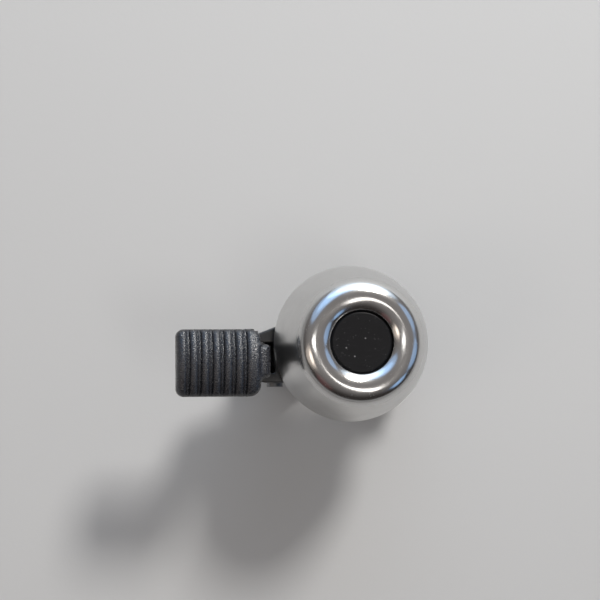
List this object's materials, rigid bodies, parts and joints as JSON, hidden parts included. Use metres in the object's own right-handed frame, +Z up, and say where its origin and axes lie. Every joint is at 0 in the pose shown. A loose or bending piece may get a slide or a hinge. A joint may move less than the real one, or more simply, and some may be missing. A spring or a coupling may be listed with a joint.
{
  "type": "bicycle bell",
  "caption": "Small round-shouldered handlebar bell with a chromed dome, black centre cap, ribbed sprung thumb lever and hinged clamp.",
  "frame": {"origin": "middle of the handlebar bore, on the bar's axis", "axes": "+Z up along the dome's axis; Y along the handlebar; the thumb pad points to -X and the clamp screw is at +X"},
  "size_m": [0.0648, 0.038, 0.0499],
  "materials": {
    "dome_chrome": "bright chrome plate",
    "cap_black": "satin black, lightly scuffed",
    "base_black": "moulded black plastic",
    "arm_black": "moulded black plastic, glossy",
    "pad_grey": "blue-grey rubbery plastic, fine grain",
    "steel_zinc": "zinc plated",
    "spring_steel": "drawn spring wire",
    "brass_insert": "turned brass",
    "nylon_white": "natural nylon",
    "rubber_black": "matt black rubber"
  },
  "bodies": {
    "bell_body": {"base": "base_black", "post_insert": "brass_insert", "isolating_bush": "rubber_black", "dome": "dome_chrome", "nylon_washer": "nylon_white", "steel_washer": "steel_zinc", "dome_screw": "steel_zinc", "dome_cap": "cap_black", "pivot_pin": "steel_zinc", "pivot_clip": "spring_steel", "torsion_spring": "spring_steel", "jaw_hinge_pin": "steel_zinc", "upper_bar_pad": "rubber_black", "clamp_nut": "steel_zinc"},
    "striker": {"striker_arm": "arm_black", "thumb_pad": "pad_grey"},
    "jaw": {"clamp_jaw": "base_black", "lower_bar_pad": "rubber_black"},
    "washer": {"clamp_washer": "steel_zinc"},
    "screw": {"clamp_screw": "steel_zinc"}
  },
  "joints": [
    {"name": "striker_pivot", "type": "hinge", "parent": "bell_body", "child": "striker", "pos_m": [-0.0244, 0, 0.0126], "axis": [0, -1, 0], "range_deg": [-13.5, 28], "stiffness_Nm_per_rad": 0.15, "deforming": ["torsion_spring"]},
    {"name": "clamp_screw_travel", "type": "slide", "parent": "bell_body", "child": "washer", "axis": [0, 0, -1], "range_m": [0, 0.0033]},
    {"name": "clamp_screw_turn", "type": "hinge", "parent": "washer", "child": "screw", "pos_m": [0.0169, 0, 0], "axis": [0, 0, -1], "range_deg": [0, 1700]},
    {"name": "jaw_hinge", "type": "hinge", "parent": "bell_body", "child": "jaw", "pos_m": [-0.0164, 0, 0], "axis": [0, 1, 0], "range_deg": [0, 5]}
  ],
  "couplings": [
    {"joint": "clamp_screw_turn", "follows": "clamp_screw_travel", "rad_per_m": 8976},
    {"joint": "jaw_hinge", "follows": "clamp_screw_travel", "rad_per_m": 26}
  ]
}
